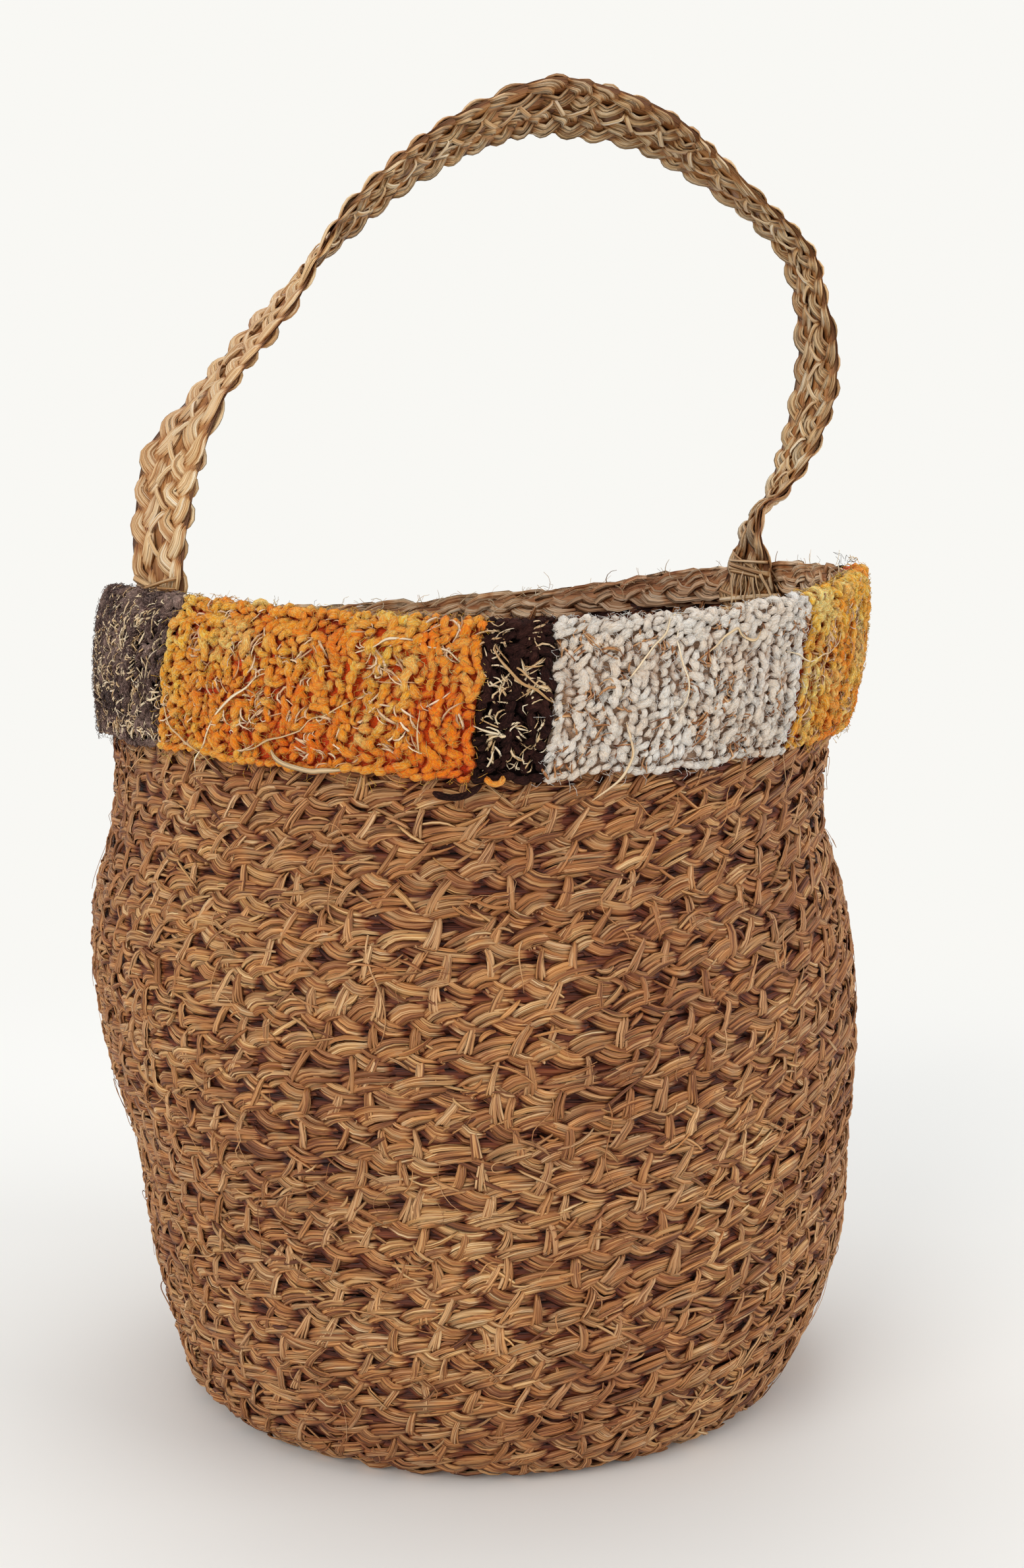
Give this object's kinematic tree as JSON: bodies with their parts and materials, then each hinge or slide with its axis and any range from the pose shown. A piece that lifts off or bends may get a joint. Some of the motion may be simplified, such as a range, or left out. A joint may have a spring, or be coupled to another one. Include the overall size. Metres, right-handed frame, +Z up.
{
  "type": "carrying basket",
  "caption": "Round soft-sided raffia basket sewn from a flat plait, with a crocheted yarn band in colour blocks at the rim and a plaited carrying strap that swings over the mouth.",
  "frame": {"origin": "centre of the flat underside of the base", "axes": "+Z up out of the mouth; the strap goes over the mouth from its lower, nearer foot at -X to its bulging side at +X, turned 3 degrees from the XZ plane"},
  "size_m": [0.3299, 0.3027, 0.5096],
  "materials": {
    "raffia": "dry plaited raffia, tan, fibrous",
    "strap_raffia": "dry plaited raffia, pale straw",
    "stitching": "raffia strips, slightly glossy",
    "orange_yarn": "fuzzy crocheted yarn",
    "dark_yarn": "fuzzy crocheted yarn",
    "cream_yarn": "fuzzy crocheted yarn",
    "brown_yarn": "fuzzy crocheted yarn"
  },
  "bodies": {
    "basket": {"base_centre_knot": "raffia", "base_coil": "raffia", "wall_course_01": "raffia", "wall_course_02": "raffia", "wall_course_03": "raffia", "wall_course_04": "raffia", "wall_course_05": "raffia", "wall_course_06": "raffia", "wall_course_07": "raffia", "wall_course_08": "raffia", "wall_course_09": "raffia", "wall_course_10": "raffia", "wall_course_11": "raffia", "wall_course_12": "raffia", "wall_course_13": "raffia", "wall_course_14": "raffia", "wall_course_15": "raffia", "wall_course_16": "raffia", "wall_course_17": "raffia", "wall_course_18": "raffia", "wall_course_19": "raffia", "wall_course_20": "raffia", "wall_course_21": "raffia", "wall_course_22": "raffia", "wall_course_23": "raffia", "wall_course_24": "raffia", "wall_course_25": "raffia", "wall_course_26": "raffia", "band_orange_front": "orange_yarn", "band_dark_stripe_front": "dark_yarn", "band_cream_front": "cream_yarn", "band_orange_right": "orange_yarn", "band_dark_stripe_right": "dark_yarn", "band_cream_back": "cream_yarn", "band_orange_back": "orange_yarn", "band_dark_stripe_back": "dark_yarn", "band_cream_left": "cream_yarn", "band_brown_left": "brown_yarn", "strap_end_left": "strap_raffia", "strap_end_right": "strap_raffia", "end_lashing_left": "stitching", "end_lashing_right": "stitching"},
    "strap": {"strap_plait_front": "strap_raffia", "strap_plait_back": "strap_raffia", "strap_seam_lacing": "strap_raffia"}
  },
  "joints": [
    {"name": "strap_swing", "type": "hinge", "parent": "basket", "child": "strap", "pos_m": [-0.13583, 0.00827, 0.32832], "axis": [0.9977, -0.0477, 0.0483], "range_deg": [-80, 80]}
  ]
}
